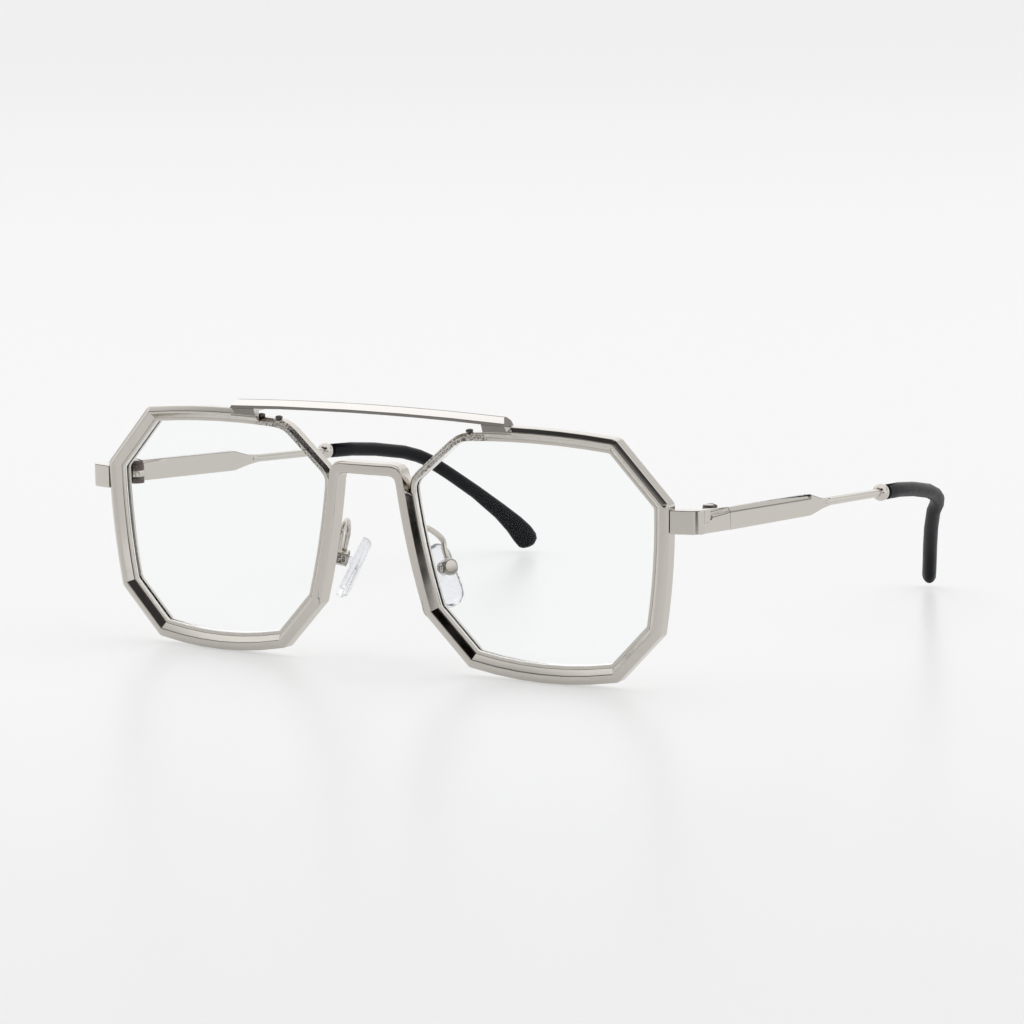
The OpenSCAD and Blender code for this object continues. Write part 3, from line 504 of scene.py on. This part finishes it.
class EYEGLASSES_OT_front(bpy.types.Operator):
    """Front frame: one tumbled and plated band round both lenses and over the nose"""
    bl_idname = "eyeglasses.front"
    bl_label = "Front frame"

    def execute(self, context):
        width = context.scene.eyeglasses_metal.edge_round
        front = eased("front_frame", tumbled_nickel(), width, shading=BENT_SHADING)
        top = max(vertex.co.z for vertex in front.data.vertices)
        # Painted dark reflection on the front faces of the blocks under the bar's ends
        paint(front, dark_reflection_nickel(), lambda middle, normal: (
            normal.y < -0.74 and middle.z > top - BLOCK_DEPTH and BLOCK_X[0] < abs(middle.x) < BLOCK_X[1]))
        return {"FINISHED"}


class EYEGLASSES_OT_brow_bar(bpy.types.Operator):
    """Brow bar with its bevelled front and sloping ends"""
    bl_idname = "eyeglasses.brow_bar"
    bl_label = "Brow bar"

    def execute(self, context):
        bar = eased("brow_bar", polished_nickel(), context.scene.eyeglasses_metal.small_round)
        # Painted dark reflection on the front, the top and the sloping ends; the bevels between them stay
        # polished
        paint(bar, dark_reflection_nickel(), lambda middle, normal: (
            normal.y < -0.9 or normal.z > 0.95 or abs(normal.x) > 0.4))
        return {"FINISHED"}


class EYEGLASSES_OT_eyewires(bpy.types.Operator):
    """Grooved wire rings that hold the lenses, with the two small screws on each"""
    bl_idname = "eyeglasses.eyewires"
    bl_label = "Eyewires and rim screws"

    def execute(self, context):
        settings = context.scene.eyeglasses_metal
        for side in SIDES:
            wire = eased(side + "_eyewire", tumbled_nickel(), settings.small_round,
                         edge_material=polished_nickel(), shading=BENT_SHADING)
            # The side of the ring that looks forward
            paint(wire, pitted_wire(), lambda middle, normal: normal.y < -0.3)
            eased(side + "_rim_screws", screw_steel(), settings.small_round)
        return {"FINISHED"}


class EYEGLASSES_OT_lenses(bpy.types.Operator):
    """Clear lenses, seated in the grooves of the eyewires"""
    bl_idname = "eyeglasses.lenses"
    bl_label = "Lenses"

    def execute(self, context):
        for side in SIDES:
            node = side + "_lens"
            lens = finish_piece(node + "_clear", merged_copy(node), node, lens_resin())
            lens.visible_shadow = False
        return {"FINISHED"}


class EYEGLASSES_OT_endpieces(bpy.types.Operator):
    """Straps that turn back from the front to the hinges"""
    bl_idname = "eyeglasses.endpieces"
    bl_label = "Endpieces"

    def execute(self, context):
        width = context.scene.eyeglasses_metal.edge_round
        for side in SIDES:
            strap = eased(side + "_endpiece", tumbled_nickel(), width)
            # Painted dark reflection on the rounding below the chamfer of the outer side, and on the one along
            # the top of the front face
            paint(strap, hinge_and_dark_reflection_nickel(), lambda middle, normal: (
                abs(normal.x) > 0.9 and 0.1 < normal.z < 0.35 or normal.y < -0.4 and 0.3 < normal.z < 0.9))
        return {"FINISHED"}


class EYEGLASSES_OT_hinges(bpy.types.Operator):
    """Hinge leaves, barrels and the domed hinge screws"""
    bl_idname = "eyeglasses.hinges"
    bl_label = "Hinges"

    def execute(self, context):
        width = context.scene.eyeglasses_metal.small_round
        for side in SIDES:
            eased(side + "_front_hinge", hinge_and_dark_reflection_nickel(), width)
            eased(side + "_temple_hinge", tumbled_nickel(), width)
            screw = eased(side + "_hinge_screw", tumbled_nickel(), width)
            # Painted dark reflection on all but the flat top of the head and the underside
            paint(screw, hinge_and_dark_reflection_nickel(), lambda middle, normal: -0.5 < normal.z < 0.93)
        return {"FINISHED"}


class EYEGLASSES_OT_temples(bpy.types.Operator):
    """Temples: flat paddle, tapered neck and wire, with the ball in front of the tip"""
    bl_idname = "eyeglasses.temples"
    bl_label = "Temples and ferrules"

    def execute(self, context):
        settings = context.scene.eyeglasses_metal
        for side in SIDES:
            temple = eased(side + "_temple", tumbled_nickel(), settings.edge_round)
            # Painted dark reflection on the rounding below the chamfer of the paddle, as a thin dark line
            paint(temple, dark_reflection_nickel(), lambda middle, normal: (
                0.05 < normal.z < 0.45 and middle.y < PADDLE_END))
            node = side + "_ferrule"
            finish_piece(node + "_round", round_ball(node), node, tumbled_nickel(),
                         sharp_deg=50.0)
        return {"FINISHED"}


class EYEGLASSES_OT_tips(bpy.types.Operator):
    """Black acetate tips that curve down behind the ear"""
    bl_idname = "eyeglasses.tips"
    bl_label = "Temple tips"

    def execute(self, context):
        for side in SIDES:
            node = side + "_temple_tip"
            finish_piece(node + "_smooth", merged_copy(node), node, black_acetate(), sharp_deg=70.0)
        return {"FINISHED"}


class EYEGLASSES_OT_pad_arms(bpy.types.Operator):
    """Pad arms, the boxes at their ends and the pad screws"""
    bl_idname = "eyeglasses.pad_arms"
    bl_label = "Pad arms, boxes and screws"

    def execute(self, context):
        width = context.scene.eyeglasses_metal.small_round
        for side in SIDES:
            node = side + "_pad_arm"
            finish_piece(node + "_smooth", merged_copy(node, False), node, tumbled_nickel(),
                         sharp_deg=60.0)
            # The boxes' rounded edges get painted dark reflection, as dark outlines
            eased(side + "_pad_box", tumbled_nickel(), 2 * width,
                  edge_material=dark_reflection_nickel())
            eased(side + "_pad_screw", hinge_and_dark_reflection_nickel(), width,
                  edge_material=polished_nickel())
        return {"FINISHED"}


class EYEGLASSES_OT_nose_pads(bpy.types.Operator):
    """Soft clear nose pads"""
    bl_idname = "eyeglasses.nose_pads"
    bl_label = "Nose pads"

    def execute(self, context):
        for side in SIDES:
            pad = moulded(side + "_nose_pad", clear_silicone(), cell=0.14 * MM, passes=12)
            pad.visible_shadow = False
        return {"FINISHED"}


# ---------------------------------------------------------------- stage

def floor_material():
    """White acrylic sheet: pale, with a painted pool of light and a faint blurred reflection of what stands on
    it.

    What the camera, the metal and the lenses see of it is lifted part of the way to its own colour. The metal
    alone sees the dark strip, a painted dark reflection.
    """
    material, tree, output = new_material("white_acrylic_sheet")
    if tree is None:
        return material
    settings = bpy.context.scene.eyeglasses_stage
    place = object_place(tree)
    spot = add(tree, "ShaderNodeMapping", {"vector_type": "TEXTURE"}, {
        "Vector": place, "Rotation": (0.0, 0.0, settings.camera_azimuth)}).outputs["Vector"]
    depth = add(tree, "ShaderNodeSeparateXYZ", inputs={"Vector": spot}).outputs["Y"]
    # The painted pool of light: it fades to painted shade towards and away from the camera
    near = ramp(tree, depth, NEAR_FADE, (NEAR_SHARE, 1.0), smooth=True)
    far = ramp(tree, depth, FAR_FADE, (1.0, 0.0), smooth=True)
    pale = mixed(tree, maths(tree, "MULTIPLY", near, far),
                 opaque(settings.floor_painted_shade_colour), opaque(settings.floor_colour))
    rays = add(tree, "ShaderNodeLightPath").outputs

    def along(direction):
        return add(tree, "ShaderNodeVectorMath", {"operation": "DOT_PRODUCT"}, {
            0: place, 1: direction}).outputs["Value"]

    # The painted dark reflection: a dark strip of floor that only glossy rays see
    strip = ramp(tree, maths(tree, "ABSOLUTE", along(STRIP_ACROSS)), STRIP_EDGE, (1.0, 0.0), smooth=True)
    beyond = ramp(tree, along(STRIP_WAY), STRIP_START, (0.0, settings.far_floor_painted_dark_reflection), smooth=True)
    painted_dark_reflection = maths(tree, "MULTIPLY", maths(tree, "MULTIPLY", beyond, strip), rays["Is Glossy Ray"])
    colour = mixed(tree, painted_dark_reflection, pale, (0.0, 0.0, 0.0, 1.0))
    lit = add(tree, "ShaderNodeBsdfPrincipled", inputs={
        "Base Color": colour, "Roughness": 0.3, "Specular IOR Level": 0.25})
    even = add(tree, "ShaderNodeEmission", inputs={"Color": colour, "Strength": 1.0})
    seen = maths(tree, "ADD", rays["Is Camera Ray"], rays["Is Glossy Ray"])
    seen = maths(tree, "ADD", seen, rays["Is Transmission Ray"], clamped=True)
    shown = add(tree, "ShaderNodeMixShader", inputs={
        0: maths(tree, "MULTIPLY", seen, settings.floor_lift),
        1: lit.outputs["BSDF"], 2: even.outputs["Emission"]})
    tree.links.new(shown.outputs["Shader"], output.inputs["Surface"])
    return material


def add_floor():
    mesh = bmesh.new()
    bmesh.ops.create_circle(mesh, cap_ends=True, segments=64, radius=FLOOR_RADIUS)
    data = bpy.data.meshes.new("floor")
    mesh.to_mesh(data)
    mesh.free()
    floor = bpy.data.objects.new("floor", data)
    bpy.context.scene.collection.objects.link(floor)
    data.materials.append(floor_material())
    floor.location.z = -FLOOR_DROP


# Dark parts of the studio, as the metal shows them: (azimuth window, elevation window, darkness).
# A window rises between its first two angles and falls between its last two, in degrees; azimuth 0 is
# straight ahead of the glasses and grows towards the wearer's left.
DARK_PARTS = (
    ((-78, -40, 58, 80), (20, 34, 52, 72), 0.96),  # broad and high, in front
    ((22, 40, 56, 74), (32, 41, 56, 66), 1.0),  # its darkest part, on the left
    ((-70, -50, 35, 48), (1, 4, 20, 28), 0.95),  # low, in front
    ((48, 55, 71, 83), (-13, -7, 9, 13), 1.0),  # level, on the left
    ((100, 120, 172, 180), (2, 12, 34, 46), 0.3),  # faint, behind on the left
    ((-126, -113, -101, -86), (-3, 4, 18, 30), 0.4),  # faint, on the right
)


def add_world():
    """A white studio with the dark of the room where the camera stands."""
    world = bpy.data.worlds.new("white_studio")
    bpy.context.scene.world = world
    world.use_nodes = True
    tree = world.node_tree
    tree.nodes.clear()

    def window(value, angles):
        rise, fall = [ramp(tree, value, [math.radians(angle) for angle in pair], (0.0, 1.0), smooth=True)
                      for pair in (angles[:2], angles[2:])]
        return maths(tree, "MULTIPLY", rise, maths(tree, "SUBTRACT", 1.0, fall))

    way = add(tree, "ShaderNodeSeparateXYZ", inputs={
        "Vector": add(tree, "ShaderNodeTexCoord").outputs["Generated"]}).outputs
    elevation = maths(tree, "ARCSINE", way["Z"])
    azimuth = maths(tree, "ARCTAN2", way["X"], maths(tree, "MULTIPLY", way["Y"], -1.0))
    dark = None
    for azimuths, elevations, darkness in DARK_PARTS:
        inside = maths(tree, "MULTIPLY", window(azimuth, azimuths), window(elevation, elevations))
        part = maths(tree, "MULTIPLY", inside, darkness)
        dark = part if dark is None else maths(tree, "MAXIMUM", dark, part)
    light = add(tree, "ShaderNodeBackground", inputs={
        "Color": maths(tree, "SUBTRACT", 1.0, dark),
        "Strength": bpy.context.scene.eyeglasses_stage.light_level})
    output = add(tree, "ShaderNodeOutputWorld")
    tree.links.new(light.outputs["Background"], output.inputs["Surface"])


def add_camera():
    """The camera of the photo: it looks at LOOK_AT, level but for a small roll."""
    settings = bpy.context.scene.eyeglasses_stage
    azimuth, elevation, roll = settings.camera_azimuth, settings.camera_elevation, settings.camera_roll
    back = Vector((math.sin(azimuth) * math.cos(elevation), -math.cos(azimuth) * math.cos(elevation),
                   math.sin(elevation)))
    right = Vector((0, 0, 1)).cross(back).normalized()
    up = back.cross(right)
    turned_right = right * math.cos(roll) + up * math.sin(roll)
    turned_up = up * math.cos(roll) - right * math.sin(roll)
    lens = bpy.data.cameras.new("photo_camera")
    lens.sensor_width = SENSOR_WIDTH
    lens.lens = settings.focal_length
    lens.clip_start = 0.05
    lens.clip_end = 60.0
    camera = bpy.data.objects.new("photo_camera", lens)
    bpy.context.scene.collection.objects.link(camera)
    turn = Matrix((turned_right, turned_up, back)).transposed().to_4x4()
    camera.matrix_world = Matrix.Translation(LOOK_AT + back * settings.camera_distance) @ turn
    bpy.context.scene.camera = camera


class EYEGLASSES_OT_stage(bpy.types.Operator):
    """Pale floor, plain studio light and the camera"""
    bl_idname = "eyeglasses.stage"
    bl_label = "Stage"

    def execute(self, context):
        context.scene.view_settings.view_transform = "Standard"
        add_floor()
        add_world()
        add_camera()
        return {"FINISHED"}


# ---------------------------------------------------------------- panel and registration

OPERATORS = (
    EYEGLASSES_OT_front, EYEGLASSES_OT_brow_bar, EYEGLASSES_OT_eyewires, EYEGLASSES_OT_lenses,
    EYEGLASSES_OT_endpieces, EYEGLASSES_OT_hinges, EYEGLASSES_OT_temples, EYEGLASSES_OT_tips,
    EYEGLASSES_OT_pad_arms, EYEGLASSES_OT_nose_pads, EYEGLASSES_OT_stage,
)
SETTINGS = {
    "eyeglasses_metal": MetalSettings,
    "eyeglasses_clear": ClearSettings,
    "eyeglasses_tips": TipSettings,
    "eyeglasses_stage": StageSettings,
}


class EYEGLASSES_PT_panel(bpy.types.Panel):
    """The sizes and colours of the eyeglasses, and a button for each group of pieces"""
    bl_idname = "EYEGLASSES_PT_panel"
    bl_label = "Eyeglasses"
    bl_space_type = "VIEW_3D"
    bl_region_type = "UI"
    bl_category = "Eyeglasses"

    def draw(self, context):
        for key in SETTINGS:
            box = self.layout.box()
            group = getattr(context.scene, key)
            for name in group.bl_rna.properties.keys():
                if name not in ("rna_type", "name"):
                    box.prop(group, name)
        for operator in OPERATORS:
            self.layout.operator(operator.bl_idname)


def register():
    for key, group in SETTINGS.items():
        bpy.utils.register_class(group)
        setattr(bpy.types.Scene, key, bpy.props.PointerProperty(type=group))
    for operator in OPERATORS:
        bpy.utils.register_class(operator)
    bpy.utils.register_class(EYEGLASSES_PT_panel)


def unregister():
    bpy.utils.unregister_class(EYEGLASSES_PT_panel)
    for operator in reversed(OPERATORS):
        bpy.utils.unregister_class(operator)
    for key, group in reversed(SETTINGS.items()):
        delattr(bpy.types.Scene, key)
        bpy.utils.unregister_class(group)


def main():
    register()
    bpy.ops.eyeglasses.front()
    bpy.ops.eyeglasses.brow_bar()
    bpy.ops.eyeglasses.eyewires()
    bpy.ops.eyeglasses.lenses()
    bpy.ops.eyeglasses.endpieces()
    bpy.ops.eyeglasses.hinges()
    bpy.ops.eyeglasses.temples()
    bpy.ops.eyeglasses.tips()
    bpy.ops.eyeglasses.pad_arms()
    bpy.ops.eyeglasses.nose_pads()
    bpy.ops.eyeglasses.stage()


if __name__ == "__main__":
    main()
